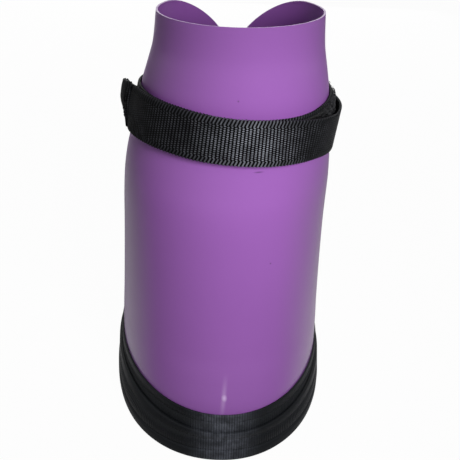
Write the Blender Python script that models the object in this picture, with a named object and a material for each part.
"""Poultice boot for a horse: a tall moulded PVC boot with a rubber sole, two black rand
strips round the foot and a webbing strap that winds round the neck and closes on hook tape.

Metres, +Z up. The toe points along -Y. The origin is the middle of the box round the
boot, at the ground.
"""

import math

import bmesh
import bpy
import numpy as np
from mathutils import Matrix, Vector

# Shell: the moulded upper. Reaches are measured from the line where the foot is widest.
BOOT_HEIGHT = 0.285
BASE_HALF_WIDTH = 0.0798
BASE_FRONT_REACH = 0.1162
BASE_BACK_REACH = 0.0718
SHELL_WALL = 0.0024
SHELL_FLOOR = 0.0035
FLOOR_EDGE_RADIUS = 0.004
BACK_RIM_DROP = 0.0035
RIGHT_RIM_RISE = 0.0013
NECK_LEAN = 0.0045
HEEL_SQUARENESS = 2.5
NECK_SQUARENESS = 2.0

# Height, half width, front reach and back reach, from the ground to the rim.
SHELL_PROFILE_SHARES = (
    (0.000, 1.000, 1.000, 1.000),
    (0.065, 0.992, 0.973, 0.997),
    (0.129, 0.983, 0.932, 0.990),
    (0.190, 0.975, 0.860, 0.980),
    (0.250, 0.963, 0.789, 0.969),
    (0.350, 0.946, 0.708, 0.950),
    (0.470, 0.928, 0.644, 0.928),
    (0.600, 0.913, 0.589, 0.905),
    (0.660, 0.892, 0.551, 0.892),
    (0.728, 0.845, 0.515, 0.862),
    (0.780, 0.807, 0.507, 0.830),
    (0.833, 0.777, 0.511, 0.792),
    (0.880, 0.735, 0.494, 0.757),
    (0.933, 0.690, 0.463, 0.727),
    (1.000, 0.664, 0.441, 0.710),
)
NECK_START_SHARE = 0.728
LEAN_SHARES = (0.50, 0.95)

# The opening at the back: two round lobes, then a slit down to a round stop.
LOBE_RADIUS = 0.060
LOBE_OVERLAP = 0.002
SLIT_WIDTH = 0.003
SLIT_STOP_RADIUS = 0.004
SLIT_LENGTH = 0.135

# Foot: outsole, midsole, insole and the two rand strips.
FIT_GAP = 0.0003
OUTSOLE_THICKNESS = 0.009
OUTSOLE_OVERHANG = 0.0042
LEFT_QUARTER_BULGE = 0.0048
RIGHT_QUARTER_BULGE = 0.0022
OUTSOLE_EDGE_RADIUS = 0.0015
MIDSOLE_THICKNESS = 0.003
MIDSOLE_INSET = 0.004
INSOLE_THICKNESS = 0.008
INSOLE_CLEARANCE = 0.001
INSOLE_BEVEL = 0.0013
TREAD_DEPTH = 0.003
TREAD_GROOVE_WIDTH = 0.004
TREAD_PITCH = 0.014
TREAD_BORDER = 0.012
UPPER_RAND_THICKNESS = 0.0012
UPPER_RAND_TOP = 0.0355
LOWER_RAND_THICKNESS = 0.0018
LOWER_RAND_TOP = 0.0230
RAND_EDGE_RADIUS = 0.0005

# Strap: webbing, hook tape, loop tape, thread and rivets.
WEB_WIDTH = 0.030
WEB_THICKNESS = 0.0018
SIDE_TOP_STAND_OFF = 0.0072
SIDE_BOTTOM_STAND_OFF = 0.0005
CORNER_TOP_STAND_OFF = 0.0096
CORNER_BOTTOM_STAND_OFF = 0.0022
TAPE_THICKNESS = 0.0008
TAPE_WIDTH = 0.022
TAPE_RAISE = 0.0015
THREAD_DIAMETER = 0.0007
STITCH_INSET = 0.003
RIVET_HEAD_RADIUS = 0.005
RIVET_HEAD_THICKNESS = 0.0014
RIVET_SHANK_RADIUS = 0.0022
RIVET_TAIL_RADIUS = 0.0036
RIVET_TAIL_THICKNESS = 0.0008
RIVET_SPACING = 0.015
WASHER_RADIUS = 0.0055
WASHER_THICKNESS = 0.001
RIVET_DOME_SHARES = ((0.0, 1.0), (0.5, 0.92), (1.0, 0.55))
RIVET_TAIL_END_SHARE = 0.8

# Places along the strap, in degrees of winding from its riveted start.
STRAP_START_BEARING = 150.0
RIVET_TURN = 6.0
INNER_TURN_END = 367.0
RIGHT_END = 440.0
FRONT_END = 541.0
LEFT_END = 584.0
STRAP_END = 597.0
END_SKEW = 1.0
LOOP_TAPE_TURNS = (25.0, 235.0)
HOOK_TAPE_FRONT_TURNS = (505.0, 539.0)
HOOK_TAPE_LEFT_TURNS = (543.0, 580.0)
CLIMB_TURNS = (318.0, 345.0)
ASIDE_TURNS = (378.0, 402.0)
CORNER_TURNS = (436.0, 461.0)
SEAT_TURN = 495.0
LEAVE_TURN = 584.0
STITCH_END_TURN = 2.0

# Turn and height of the strap's middle, as a share of the boot's height.
STRAP_HEIGHT_SHARES = (
    (0.0, 0.780),
    (60.0, 0.776),
    (91.0, 0.770),
    (115.0, 0.765),
    (150.0, 0.770),
    (193.0, 0.780),
    (228.0, 0.778),
    (270.0, 0.765),
    (330.0, 0.744),
    (400.0, 0.737),
    (435.0, 0.743),
    (465.0, 0.761),
    (490.0, 0.770),
    (527.0, 0.779),
    (553.0, 0.785),
    (582.0, 0.786),
    (600.0, 0.791),
)

# How finely the curves are divided, with angles in degrees.
SHELL_COLUMNS = 64
BODY_ROWS = 8
STOP_ROWS = 5
STOP_LAST_ANGLE = 150.0
SLIT_ROWS = 7
LOBE_ROWS = 8
WEB_STEP = 5.0
BEARING_NUDGE = 0.5
OUTLINE_SAMPLES = 721
THREAD_SIDES = 6
THREAD_END_ROWS = 2
RIVET_SIDES = 20
SHARP_ANGLE = 35.0
MERGE_DISTANCE = 0.00001

# Worked out from the sizes above.
WIDEST_LINE_Y = (BASE_FRONT_REACH - BASE_BACK_REACH) / 2
MIDSOLE_BOTTOM = OUTSOLE_THICKNESS + FIT_GAP
SHELL_BOTTOM = MIDSOLE_BOTTOM + MIDSOLE_THICKNESS + FIT_GAP
FLOOR_TOP = SHELL_BOTTOM + SHELL_FLOOR
INSOLE_BOTTOM = FLOOR_TOP + FIT_GAP
SLIT_HALF = SLIT_WIDTH / 2
SLIT_BOTTOM = BOOT_HEIGHT - SLIT_LENGTH
LOBE_CENTRE_ARC = LOBE_RADIUS - LOBE_OVERLAP
LOBE_CENTRE_HEIGHT = BOOT_HEIGHT - LOBE_RADIUS
CORNER_SHARE = 1 - math.sqrt(0.5)
FIRST_LAYER = FIT_GAP
LOOP_TAPE_OFFSET = FIRST_LAYER + WEB_THICKNESS + FIT_GAP
HOOK_TAPE_OFFSET = LOOP_TAPE_OFFSET + TAPE_THICKNESS + FIT_GAP
OUTER_LAYER = HOOK_TAPE_OFFSET + TAPE_THICKNESS + FIT_GAP
RIVET_HEAD_OFFSET = FIRST_LAYER + WEB_THICKNESS + FIT_GAP
OVER_RIVETS = RIVET_HEAD_OFFSET + RIVET_HEAD_THICKNESS + 2 * FIT_GAP

# Turn and the strap's distance from the shell, at its bottom edge and at its top edge.
STAND_OFFS = (
    (0.0, FIRST_LAYER, FIRST_LAYER),
    (CLIMB_TURNS[0], FIRST_LAYER, FIRST_LAYER),
    (CLIMB_TURNS[1], OVER_RIVETS, OVER_RIVETS),
    (ASIDE_TURNS[0], OVER_RIVETS, OVER_RIVETS),
    (ASIDE_TURNS[1], SIDE_BOTTOM_STAND_OFF, SIDE_TOP_STAND_OFF),
    (CORNER_TURNS[0], SIDE_BOTTOM_STAND_OFF, SIDE_TOP_STAND_OFF),
    (CORNER_TURNS[1], CORNER_BOTTOM_STAND_OFF, CORNER_TOP_STAND_OFF),
    (SEAT_TURN, OUTER_LAYER, OUTER_LAYER),
    (STRAP_END, OUTER_LAYER, OUTER_LAYER),
)


def clear_scene():
    for obj in list(bpy.data.objects):
        bpy.data.objects.remove(obj, do_unlink=True)


def smooth_table(x, rows):
    """Reads a table of (x, y) rows along a smooth curve that never overshoots its rows."""
    knots = np.array([row[0] for row in rows])
    values = np.array([row[1] for row in rows])
    steps = np.diff(knots)
    slopes = np.diff(values) / steps
    tangents = np.zeros(len(knots))
    tangents[0] = slopes[0]
    tangents[-1] = slopes[-1]
    for i in range(1, len(knots) - 1):
        if slopes[i - 1] * slopes[i] > 0:
            tangents[i] = 2 * slopes[i - 1] * slopes[i] / (slopes[i - 1] + slopes[i])
    k = np.clip(np.searchsorted(knots, x, side="right") - 1, 0, len(steps) - 1)
    t = np.clip((x - knots[k]) / steps[k], 0, 1)
    return (
        (2 * t**3 - 3 * t**2 + 1) * values[k]
        + (t**3 - 2 * t**2 + t) * steps[k] * tangents[k]
        + (3 * t**2 - 2 * t**3) * values[k + 1]
        + (t**3 - t**2) * steps[k] * tangents[k + 1]
    )


def ease(x, start, end):
    """0 before start, 1 after end, and a smooth rise between them."""
    t = np.clip((np.asarray(x, float) - start) / (end - start), 0, 1)
    return t * t * (3 - 2 * t)


def shell_size(height, column, size):
    rows = [(row[0], row[column]) for row in SHELL_PROFILE_SHARES]
    return size * smooth_table(height / BOOT_HEIGHT, rows)


def signed_power(value, power):
    return np.sign(value) * np.abs(value) ** power


def outline(height, bearing):
    """Points on the outside of the shell. Bearing is in degrees: 0 at the toe, 90 at +X."""
    turn = np.radians(bearing)
    half_width = shell_size(height, 1, BASE_HALF_WIDTH)
    front = shell_size(height, 2, BASE_FRONT_REACH)
    back = shell_size(height, 3, BASE_BACK_REACH)
    blend = ease(height / BOOT_HEIGHT, 0, NECK_START_SHARE)
    squareness = HEEL_SQUARENESS + (NECK_SQUARENESS - HEEL_SQUARENESS) * blend
    behind = np.cos(turn) < 0
    power = np.where(behind, 2 / squareness, 1.0)
    lean = NECK_LEAN * ease(height / BOOT_HEIGHT, *LEAN_SHARES)
    x = lean + half_width * signed_power(np.sin(turn), power)
    reach = np.where(behind, back, front)
    y = WIDEST_LINE_Y - reach * signed_power(np.cos(turn), power)
    return x, y


def around(height, bearing, offset=0.0):
    """Points at a distance outside the shell's outer surface, measured level."""
    bearing = np.asarray(bearing, float)
    x, y = outline(height, bearing)
    x_before, y_before = outline(height, bearing - BEARING_NUDGE)
    x_after, y_after = outline(height, bearing + BEARING_NUDGE)
    along_x = x_after - x_before
    along_y = y_after - y_before
    length = np.hypot(along_x, along_y)
    x = x + offset * along_y / length
    y = y - offset * along_x / length
    return np.stack([x, y, np.broadcast_to(height, x.shape)], axis=-1)


def add_object(name, points, faces, material, smooth=True):
    """Makes a closed mesh object with its faces turned outwards."""
    mesh = bpy.data.meshes.new(name)
    mesh.from_pydata([tuple(map(float, point)) for point in points], [], faces)
    shape = bmesh.new()
    shape.from_mesh(mesh)
    bmesh.ops.remove_doubles(shape, verts=shape.verts, dist=MERGE_DISTANCE)
    bmesh.ops.recalc_face_normals(shape, faces=shape.faces)
    shape.to_mesh(mesh)
    shape.free()
    obj = bpy.data.objects.new(name, mesh)
    bpy.context.scene.collection.objects.link(obj)
    if material is not None:
        mesh.materials.append(material)
    if smooth:
        mesh.shade_smooth()
        mesh.set_sharp_from_angle(angle=math.radians(SHARP_ANGLE))
    return obj


def add_material(name, colour, roughness, metallic=0.0):
    material = bpy.data.materials.new(name)
    material.use_nodes = True
    shader = material.node_tree.nodes["Principled BSDF"]
    shader.inputs["Base Color"].default_value = (*colour, 1.0)
    shader.inputs["Roughness"].default_value = roughness
    shader.inputs["Metallic"].default_value = metallic
    return material


def loops_to_faces(count, size, closed):
    """Faces that join each loop of points to the next one, with end faces if it is open."""
    faces = []
    last = count if closed else count - 1
    for i in range(last):
        here = i * size
        there = (i + 1) % count * size
        for j in range(size):
            k = (j + 1) % size
            faces.append((here + j, here + k, there + k, there + j))
    if not closed:
        faces.append(tuple(range(size)))
        faces.append(tuple(range((count - 1) * size, count * size)))
    return faces


def add_swept(name, loops, material, closed=False):
    """A solid whose cross-sections are the loops, in order along its length."""
    loops = np.asarray(loops)
    count, size = loops.shape[:2]
    faces = loops_to_faces(count, size, closed)
    return add_object(name, loops.reshape(-1, 3), faces, material)


def full_circle():
    return np.linspace(0, 360, SHELL_COLUMNS, endpoint=False)


def quarter_bulge():
    """How much further the sole stands out beside the toe, for each column of the foot."""
    turn = np.radians((full_circle() + 180) % 360 - 180)
    side = np.where(turn > 0, RIGHT_QUARTER_BULGE, LEFT_QUARTER_BULGE)
    return np.where(np.cos(turn) > 0, side * np.sin(2 * turn) ** 2, 0)


def add_slab(name, rings, material):
    """A solid slab with level ends: rings are (offset from the shell, height), bottom first."""
    loops = [around(height, full_circle(), offset) for offset, height in rings]
    return add_swept(name, loops, material)


def add_band(name, section, material):
    """A closed ring round the foot: section is a list of (offset from the shell, height)."""
    sides = np.stack([around(height, full_circle(), offset) for offset, height in section])
    return add_swept(name, sides.transpose(1, 0, 2), material, closed=True)


def lobe_foot():
    """The height at which the two lobes have closed to the width of the slit."""
    reach = LOBE_CENTRE_ARC - SLIT_HALF
    return LOBE_CENTRE_HEIGHT + math.sqrt(LOBE_RADIUS**2 - reach**2)


def half_opening(height):
    """Half the width of the opening at the back, measured round the shell."""
    if height <= SLIT_BOTTOM:
        return 0.0
    if height < SLIT_BOTTOM + SLIT_STOP_RADIUS:
        below = SLIT_BOTTOM + SLIT_STOP_RADIUS - height
        return math.sqrt(SLIT_STOP_RADIUS**2 - below**2)
    above = height - SLIT_BOTTOM - SLIT_STOP_RADIUS
    stop = math.sqrt(max(SLIT_STOP_RADIUS**2 - above**2, 0.0))
    if height <= lobe_foot():
        return max(SLIT_HALF, stop)
    rise = min(height - LOBE_CENTRE_HEIGHT, LOBE_RADIUS)
    return LOBE_CENTRE_ARC - math.sqrt(LOBE_RADIUS**2 - rise**2)


def shell_heights():
    """Levels from the floor to the rim, closer together where the opening turns."""
    low = [SHELL_BOTTOM, SHELL_BOTTOM + FLOOR_EDGE_RADIUS / 3]
    low += [SHELL_BOTTOM + FLOOR_EDGE_RADIUS, LOWER_RAND_TOP]
    body = list(np.linspace(UPPER_RAND_TOP, SLIT_BOTTOM, BODY_ROWS))
    turns = np.radians(np.linspace(0, STOP_LAST_ANGLE, STOP_ROWS + 1))[1:]
    stop = [SLIT_BOTTOM + SLIT_STOP_RADIUS * (1 - math.cos(turn)) for turn in turns]
    slit = list(np.linspace(stop[-1], lobe_foot(), SLIT_ROWS + 1))[1:]
    first = math.asin((lobe_foot() - LOBE_CENTRE_HEIGHT) / LOBE_RADIUS)
    rises = np.linspace(first, math.pi / 2, LOBE_ROWS + 1)[1:]
    lobe = [LOBE_CENTRE_HEIGHT + LOBE_RADIUS * math.sin(rise) for rise in rises]
    return low + body + stop + slit + lobe


def rim_drop(height, bearings):
    """How far the shell is cut lower towards the back and towards the left."""
    turn = np.radians(bearings)
    drop = BACK_RIM_DROP * (1 - np.cos(turn)) / 2 - RIGHT_RIM_RISE * np.sin(turn)
    return drop * ease(height / BOOT_HEIGHT, NECK_START_SHARE, 1)


def shell_row(height, level, offset):
    """One row of points from edge to edge of the opening, by way of the toe."""
    width = shell_size(level, 1, BASE_HALF_WIDTH)
    edge = 180 - math.degrees(half_opening(level) / width)
    bearings = np.linspace(-edge, edge, SHELL_COLUMNS + 1)
    points = around(height, bearings, offset)
    points[:, 2] -= rim_drop(level, bearings)
    return points


def floor_inset(height):
    """How far the rounded edge under the floor draws the outside in."""
    below = max(SHELL_BOTTOM + FLOOR_EDGE_RADIUS - height, 0.0)
    return FLOOR_EDGE_RADIUS - math.sqrt(FLOOR_EDGE_RADIUS**2 - below**2)


def add_shell(material):
    heights = shell_heights()
    first_inner = 2
    outer = [shell_row(h, h, -floor_inset(h)) for h in heights]
    inner_heights = [FLOOR_TOP] + heights[first_inner + 1 :]
    inner = [shell_row(h, h, -SHELL_WALL) for h in inner_heights]
    size = SHELL_COLUMNS + 1
    rows = outer + inner
    points = np.concatenate(rows)
    faces = []
    inner_start = len(outer)
    for start, stop in ((0, len(outer)), (inner_start, len(rows))):
        for row in range(start, stop - 1):
            for i in range(SHELL_COLUMNS):
                a = row * size + i
                faces.append((a, a + 1, a + 1 + size, a + size))
    rim_outer = (len(outer) - 1) * size
    rim_inner = (len(rows) - 1) * size
    for i in range(SHELL_COLUMNS):
        faces.append((rim_outer + i, rim_outer + i + 1, rim_inner + i + 1, rim_inner + i))
    for row in range(len(outer) - 1):
        if heights[row + 1] <= SLIT_BOTTOM:
            continue
        inner_row = inner_start + row - first_inner
        for side in (0, SHELL_COLUMNS):
            a = row * size + side
            b = inner_row * size + side
            faces.append((a, a + size, b + size, b))
    faces.append(tuple(range(SHELL_COLUMNS)))
    faces.append(tuple(inner_start * size + i for i in range(SHELL_COLUMNS)))
    return add_object("boot_shell", points, faces, material)


def add_tread_cutter():
    """Grooves across the bottom of the outsole, kept inside its edge."""
    points = []
    faces = []
    count = int((BASE_FRONT_REACH + BASE_BACK_REACH) / TREAD_PITCH)
    edge_x, edge_y = outline(0.0, np.linspace(0, 180, OUTLINE_SAMPLES))
    for i in range(count):
        y = (i - (count - 1) / 2) * TREAD_PITCH
        half = float(np.interp(y, edge_y, edge_x)) - TREAD_BORDER
        if half < TREAD_BORDER:
            continue
        near = y - TREAD_GROOVE_WIDTH / 2
        far = y + TREAD_GROOVE_WIDTH / 2
        start = len(points)
        for z in (-TREAD_DEPTH, TREAD_DEPTH):
            points += [(-half, near, z), (half, near, z), (half, far, z), (-half, far, z)]
        box = ((0, 1, 2, 3), (4, 5, 6, 7), (0, 1, 5, 4))
        box += ((1, 2, 6, 5), (2, 3, 7, 6), (3, 0, 4, 7))
        faces += [tuple(start + corner for corner in face) for face in box]
    return as_cutter(add_object("tread_cutter", points, faces, None, smooth=False))


def as_cutter(obj):
    obj.hide_render = True
    obj.display_type = "WIRE"
    return obj


def cut(obj, cutter):
    boolean = obj.modifiers.new(cutter.name, "BOOLEAN")
    boolean.operation = "DIFFERENCE"
    boolean.solver = "EXACT"
    boolean.object = cutter


def add_sole(rubber, foam, lining):
    outer = OUTSOLE_OVERHANG + quarter_bulge()
    edge = OUTSOLE_EDGE_RADIUS
    corner = edge * CORNER_SHARE
    outsole_rings = [
        (outer - edge, 0.0),
        (outer - corner, corner),
        (outer, edge),
        (outer, OUTSOLE_THICKNESS - edge),
        (outer - corner, OUTSOLE_THICKNESS - corner),
        (outer - edge, OUTSOLE_THICKNESS),
    ]
    cut(add_slab("outsole", outsole_rings, rubber), add_tread_cutter())
    midsole_rings = [(-MIDSOLE_INSET, MIDSOLE_BOTTOM)]
    midsole_rings += [(-MIDSOLE_INSET, MIDSOLE_BOTTOM + MIDSOLE_THICKNESS)]
    add_slab("midsole", midsole_rings, foam)
    inset = -(SHELL_WALL + INSOLE_CLEARANCE)
    insole_rings = [
        (inset, INSOLE_BOTTOM),
        (inset, INSOLE_BOTTOM + INSOLE_THICKNESS - INSOLE_BEVEL),
        (inset - INSOLE_BEVEL, INSOLE_BOTTOM + INSOLE_THICKNESS),
    ]
    add_slab("foam_insole", insole_rings, lining)


def add_rands(rubber):
    inner = FIT_GAP
    outer = FIT_GAP + UPPER_RAND_THICKNESS
    edge = RAND_EDGE_RADIUS
    upper = [
        (inner, MIDSOLE_BOTTOM),
        (outer, MIDSOLE_BOTTOM),
        (outer, LOWER_RAND_TOP),
        (outer, UPPER_RAND_TOP - edge),
        (outer - edge, UPPER_RAND_TOP),
        (inner, UPPER_RAND_TOP),
        (inner, LOWER_RAND_TOP),
        (inner, SHELL_BOTTOM + FLOOR_EDGE_RADIUS),
    ]
    add_band("upper_rand", upper, rubber)
    inner = outer + FIT_GAP
    outer = inner + LOWER_RAND_THICKNESS + quarter_bulge()
    lower = [
        (inner, MIDSOLE_BOTTOM),
        (outer - edge, MIDSOLE_BOTTOM),
        (outer, MIDSOLE_BOTTOM + edge),
        (outer, LOWER_RAND_TOP - 2 * edge),
        (outer - 2 * edge, LOWER_RAND_TOP),
        (inner, LOWER_RAND_TOP),
    ]
    add_band("lower_rand", lower, rubber)


def strap_height(turn):
    """The height of the strap's middle, which sags behind the neck and on the right."""
    return BOOT_HEIGHT * smooth_table(turn, STRAP_HEIGHT_SHARES)


def strap_stand_off(turn):
    """Distances from the shell to the strap's inner face, at its bottom and top edge."""
    low = smooth_table(turn, [(row[0], row[1]) for row in STAND_OFFS])
    high = smooth_table(turn, [(row[0], row[2]) for row in STAND_OFFS])
    away = np.radians(np.maximum(np.asarray(turn, float) - LEAVE_TURN, 0.0))
    straight = BASE_HALF_WIDTH * (1 / np.cos(away) - 1)
    return low, high + straight


def strap_point(turn, across, lift):
    """A point of the strap: across is from its middle, upwards, and lift is outwards."""
    turn = np.asarray(turn, float)
    bearing = STRAP_START_BEARING - turn
    middle = strap_height(turn)
    low, high = strap_stand_off(turn)
    bottom = around(middle - WEB_WIDTH / 2, bearing, low + lift)
    top = around(middle + WEB_WIDTH / 2, bearing, high + lift)
    share = (across / WEB_WIDTH + 0.5)[..., None]
    return bottom + (top - bottom) * share


def strap_loops(start, end, width, thickness, raise_by=0.0, lift=0.0, end_skew=0.0):
    """Cross-sections of a flat strip along the strap, whose end may be cut at a slant."""
    steps = max(2, int(round((end - start) / WEB_STEP)))
    corners = ((-0.5, 0), (0.5, 0), (0.5, 1), (-0.5, 1))
    sides = []
    for across_share, lift_share in corners:
        turns = np.linspace(start, end + end_skew * across_share, steps + 1)
        across = np.full_like(turns, raise_by + across_share * width)
        sides.append(strap_point(turns, across, lift + lift_share * thickness))
    return np.stack(sides, axis=1)


def end_gap(turn):
    """Half the gap between two strap pieces, as degrees of turn."""
    x, y = outline(strap_height(turn), STRAP_START_BEARING - turn)
    return math.degrees(FIT_GAP / 2 / math.hypot(float(x), float(y) - WIDEST_LINE_Y))


def add_webbing(material):
    pieces = (
        ("strap_inner_turn", 0.0, INNER_TURN_END),
        ("strap_right_side", INNER_TURN_END, RIGHT_END),
        ("strap_front", RIGHT_END, FRONT_END),
        ("strap_left_side", FRONT_END, LEFT_END),
    )
    for name, start, end in pieces:
        first = start + end_gap(start)
        last = end - end_gap(end)
        add_swept(name, strap_loops(first, last, WEB_WIDTH, WEB_THICKNESS), material)
    first = LEFT_END + end_gap(LEFT_END)
    folded = strap_loops(first, STRAP_END, WEB_WIDTH, 2 * WEB_THICKNESS, end_skew=END_SKEW)
    add_swept("strap_end_tab", folded, material)


def add_tapes(loop_material, hook_material):
    loop = strap_loops(
        *LOOP_TAPE_TURNS,
        TAPE_WIDTH,
        TAPE_THICKNESS,
        raise_by=TAPE_RAISE,
        lift=WEB_THICKNESS + FIT_GAP,
    )
    add_swept("loop_tape", loop, loop_material)
    hooks = (
        ("hook_tape_front", HOOK_TAPE_FRONT_TURNS),
        ("hook_tape_left", HOOK_TAPE_LEFT_TURNS),
    )
    for name, turns in hooks:
        lift = -(TAPE_THICKNESS + FIT_GAP)
        hook = strap_loops(*turns, TAPE_WIDTH, TAPE_THICKNESS, lift=lift)
        add_swept(name, hook, hook_material)


def thread_ring(start, end, width, lift):
    """Centre points of a row of stitches that runs round the edge of a tape."""
    steps = max(2, int(round((end - start) / WEB_STEP)))
    turns = np.linspace(start, end, steps + 1)
    across = np.linspace(-0.5, 0.5, THREAD_END_ROWS + 2) * width
    low = strap_point(turns, np.full_like(turns, across[0]), lift)
    high = strap_point(turns, np.full_like(turns, across[-1]), lift)
    end_row = strap_point(np.full(THREAD_END_ROWS, end), across[1:-1], lift)
    start_row = strap_point(np.full(THREAD_END_ROWS, start), across[1:-1], lift)
    return np.concatenate([low, end_row, high[::-1], start_row[::-1]])


def add_thread(name, points, material):
    """A closed tube through the points, which lie one after another round a ring."""
    following = np.roll(points, -1, axis=0)
    along = following - np.roll(points, 1, axis=0)
    along /= np.linalg.norm(along, axis=1, keepdims=True)
    middle = points.mean(axis=0)
    outward = np.cross(along, middle - points)
    outward = np.cross(outward, along)
    outward /= np.linalg.norm(outward, axis=1, keepdims=True)
    sideways = np.cross(along, outward)
    loops = []
    for turn in np.linspace(0, 2 * math.pi, THREAD_SIDES, endpoint=False):
        arm = math.cos(turn) * outward + math.sin(turn) * sideways
        loops.append(points + arm * THREAD_DIAMETER / 2)
    add_swept(name, np.stack(loops, axis=1), material, closed=True)


def add_stitching(material):
    outside = WEB_THICKNESS + FIT_GAP + THREAD_DIAMETER / 2
    sewn_width = TAPE_WIDTH - STITCH_INSET
    tab_width = WEB_WIDTH - 2 * STITCH_INSET
    tab_turns = (LEFT_END, STRAP_END - END_SKEW / 2)
    rings = (
        ("hook_stitching_front", HOOK_TAPE_FRONT_TURNS, sewn_width, outside),
        ("hook_stitching_left", HOOK_TAPE_LEFT_TURNS, sewn_width, outside),
        ("tab_stitching", tab_turns, tab_width, outside + WEB_THICKNESS),
    )
    for name, turns, width, lift in rings:
        start = turns[0] + STITCH_END_TURN
        end = turns[1] - STITCH_END_TURN
        add_thread(name, thread_ring(start, end, width, lift), material)


def rivet_frame(raise_by):
    """A point on the shell's surface at a rivet, and the directions out, up and across."""
    turn = np.array([RIVET_TURN])
    foot = strap_point(turn, np.array([raise_by]), -FIRST_LAYER)[0]
    out = strap_point(turn, np.array([raise_by]), BOOT_HEIGHT)[0] - foot
    low = strap_point(turn, np.array([-WEB_WIDTH / 2]), 0.0)[0]
    high = strap_point(turn, np.array([WEB_WIDTH / 2]), 0.0)[0]
    up = (high - low) / np.linalg.norm(high - low)
    across = np.cross(up, out)
    across /= np.linalg.norm(across)
    out = np.cross(across, up)
    return foot, out, up, across


def add_turned(name, frame, profile, material):
    """A turned solid on the rivet's axis: profile is (distance out from the shell, radius)."""
    foot, out, up, across = frame
    turns = np.linspace(0, 2 * math.pi, RIVET_SIDES, endpoint=False)
    circle = np.outer(np.cos(turns), up) + np.outer(np.sin(turns), across)
    loops = [foot + distance * out + radius * circle for distance, radius in profile]
    closed = profile[0] == profile[-1]
    return add_swept(name, loops[:-1] if closed else loops, material, closed=closed)


def add_rivets(steel, holed):
    head = RIVET_HEAD_OFFSET
    inside = -(SHELL_WALL + FIT_GAP)
    washer_back = inside - WASHER_THICKNESS
    tail = washer_back - FIT_GAP
    hole = RIVET_SHANK_RADIUS + FIT_GAP
    places = (("upper", RIVET_SPACING / 2), ("lower", -RIVET_SPACING / 2))
    for word, raise_by in places:
        frame = rivet_frame(raise_by)
        rivet = [
            (tail - RIVET_TAIL_THICKNESS, RIVET_TAIL_RADIUS * RIVET_TAIL_END_SHARE),
            (tail, RIVET_TAIL_RADIUS),
            (tail, RIVET_SHANK_RADIUS),
            (head, RIVET_SHANK_RADIUS),
        ]
        for rise, reach in RIVET_DOME_SHARES:
            rivet.append((head + RIVET_HEAD_THICKNESS * rise, RIVET_HEAD_RADIUS * reach))
        add_turned("strap_rivet_" + word, frame, rivet, steel)
        washer = [
            (inside, hole),
            (inside, WASHER_RADIUS),
            (washer_back, WASHER_RADIUS),
            (washer_back, hole),
            (inside, hole),
        ]
        add_turned("rivet_washer_" + word, frame, washer, steel)
        drill = [(tail, hole), (head, hole)]
        cutter = as_cutter(add_turned("rivet_hole_" + word, frame, drill, None))
        for obj in holed:
            cut(obj, cutter)


def fold_point(turn):
    """Where the strap folds: the outermost line of its outer face, at its middle height."""
    middle = strap_point(turn, np.array(0.0), WEB_THICKNESS)
    out = strap_point(turn, np.array(0.0), BOOT_HEIGHT) - middle
    edges = (-WEB_WIDTH / 2, WEB_WIDTH / 2)
    points = [strap_point(turn, np.array(edge), WEB_THICKNESS) for edge in edges]
    outermost = max(points, key=lambda point: point[0] * out[0] + point[1] * out[1])
    return Vector((outermost[0], outermost[1], middle[2]))


def set_fold_origins():
    """Puts the origin of each piece that swings on the upright line that it swings about."""
    riders = (
        (INNER_TURN_END, ("strap_right_side",)),
        (RIGHT_END, ("strap_front", "hook_tape_front", "hook_stitching_front")),
        (FRONT_END, ("strap_left_side", "hook_tape_left", "hook_stitching_left")),
        (LEFT_END, ("strap_end_tab", "tab_stitching")),
    )
    for turn, names in riders:
        pivot = fold_point(turn)
        for name in names:
            obj = bpy.data.objects[name]
            obj.data.transform(Matrix.Translation(-pivot))
            obj.location = pivot


def main():
    clear_scene()
    pvc = add_material("purple_pvc", (0.34, 0.13, 0.46), 0.32)
    rubber = add_material("ribbed_rubber", (0.015, 0.015, 0.017), 0.5)
    foam = add_material("midsole_foam", (0.05, 0.05, 0.055), 0.8)
    lining = add_material("insole_foam", (0.09, 0.09, 0.10), 0.85)
    web = add_material("black_webbing", (0.012, 0.012, 0.013), 0.7)
    pile = add_material("loop_pile", (0.010, 0.010, 0.012), 0.95)
    hooks = add_material("hook_tape", (0.014, 0.014, 0.016), 0.45)
    thread = add_material("black_thread", (0.016, 0.016, 0.018), 0.6)
    steel = add_material("nickel_rivet", (0.60, 0.59, 0.56), 0.3, metallic=1.0)
    shell = add_shell(pvc)
    add_sole(rubber, foam, lining)
    add_rands(rubber)
    add_webbing(web)
    add_tapes(pile, hooks)
    add_stitching(thread)
    add_rivets(steel, (shell, bpy.data.objects["strap_inner_turn"]))
    set_fold_origins()


main()
